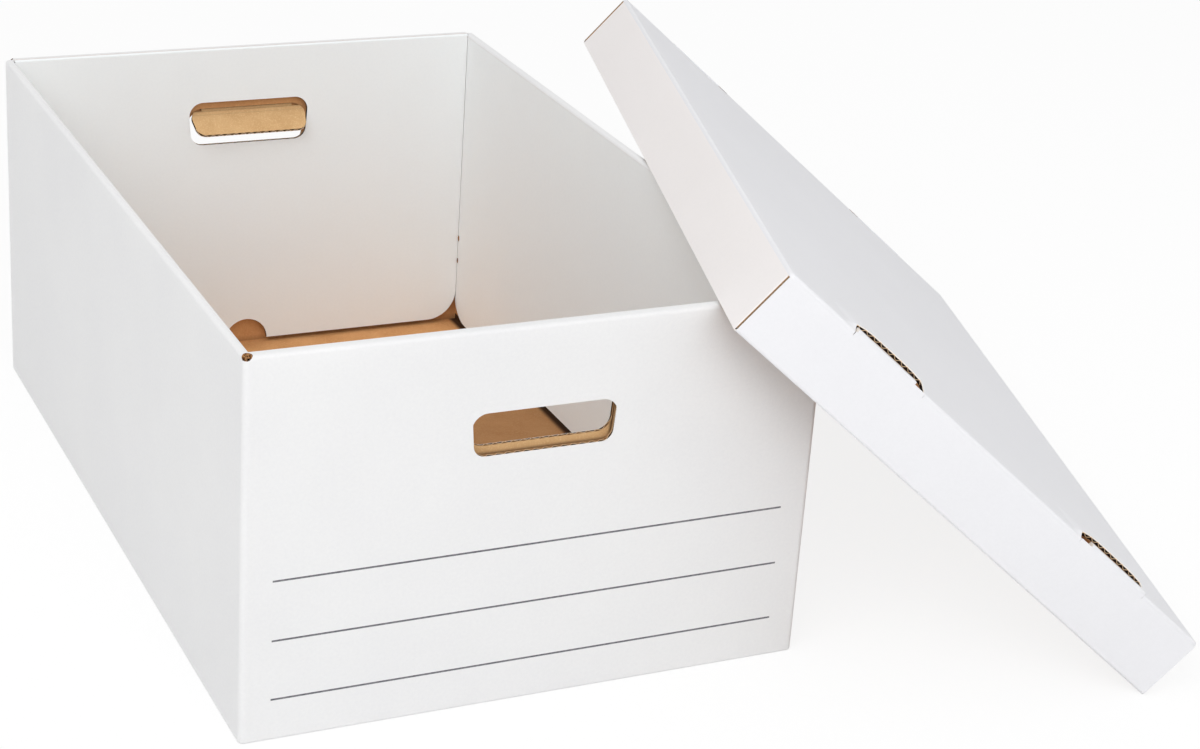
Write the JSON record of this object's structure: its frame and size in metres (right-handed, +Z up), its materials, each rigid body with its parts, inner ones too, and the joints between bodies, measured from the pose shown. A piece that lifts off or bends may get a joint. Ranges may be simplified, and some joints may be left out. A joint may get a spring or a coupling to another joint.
{
  "type": "corrugated file storage box with lid",
  "caption": "Open-top corrugated-board file storage box with handle holes and flaps, double walls, and a separate lift-off lid leaning on its side.",
  "frame": {"origin": "centre of the box's base, on the floor", "axes": "+Z up, -Y is the front end with the ruled lines, +X is the side that the lid leans on"},
  "size_m": [0.7867, 0.748, 0.2992],
  "materials": {
    "white_board": "matte white liner over kraft",
    "kraft_floor": "bare kraft"
  },
  "bodies": {
    "box": {"floor_panel": "kraft_floor", "front_end_outer": "white_board", "back_end_outer": "white_board", "left_side_outer": "white_board", "right_side_outer": "white_board", "front_end_rim": "white_board", "back_end_rim": "white_board", "left_side_rim": "white_board", "right_side_rim": "white_board", "front_end_inner": "white_board", "left_side_inner": "white_board", "right_side_inner": "white_board", "front_left_corner_flap": "white_board", "front_right_corner_flap": "white_board", "back_left_corner_flap": "white_board", "back_right_corner_flap": "white_board"},
    "back_inner_panel": {"back_end_inner": "white_board"},
    "front_flap": {"front_handle_flap": "white_board"},
    "back_flap": {"back_handle_flap": "white_board"},
    "lid": {"lid_top": "white_board", "lid_near_skirt": "white_board", "lid_far_skirt": "white_board", "lid_front_skirt_outer": "white_board", "lid_back_skirt_outer": "white_board", "lid_front_skirt_fold": "white_board", "lid_back_skirt_fold": "white_board", "lid_front_skirt_inner": "white_board", "lid_back_skirt_inner": "white_board", "lid_near_front_corner_flap": "white_board", "lid_near_back_corner_flap": "white_board", "lid_far_front_corner_flap": "white_board", "lid_far_back_corner_flap": "white_board"}
  },
  "joints": [
    {"name": "front_flap_hinge", "type": "hinge", "parent": "box", "child": "front_flap", "pos_m": [0, -0.3045, 0.2074], "axis": [1, 0, 0], "range_deg": [-90, 0]},
    {"name": "back_flap_hinge", "type": "hinge", "parent": "box", "child": "back_flap", "pos_m": [0, 0.3045, 0.2074], "axis": [1, 0, 0], "range_deg": [-40, 50]},
    {"name": "back_inner_panel_hinge", "type": "hinge", "parent": "box", "child": "back_inner_panel", "pos_m": [0, 0.2985, 0.2585], "axis": [-1, 0, 0], "range_deg": [0, 90]},
    {"name": "lid_lift", "type": "slide", "parent": "box", "child": "lid", "axis": [0, 0, 1], "range_m": [0, 0.3]}
  ]
}
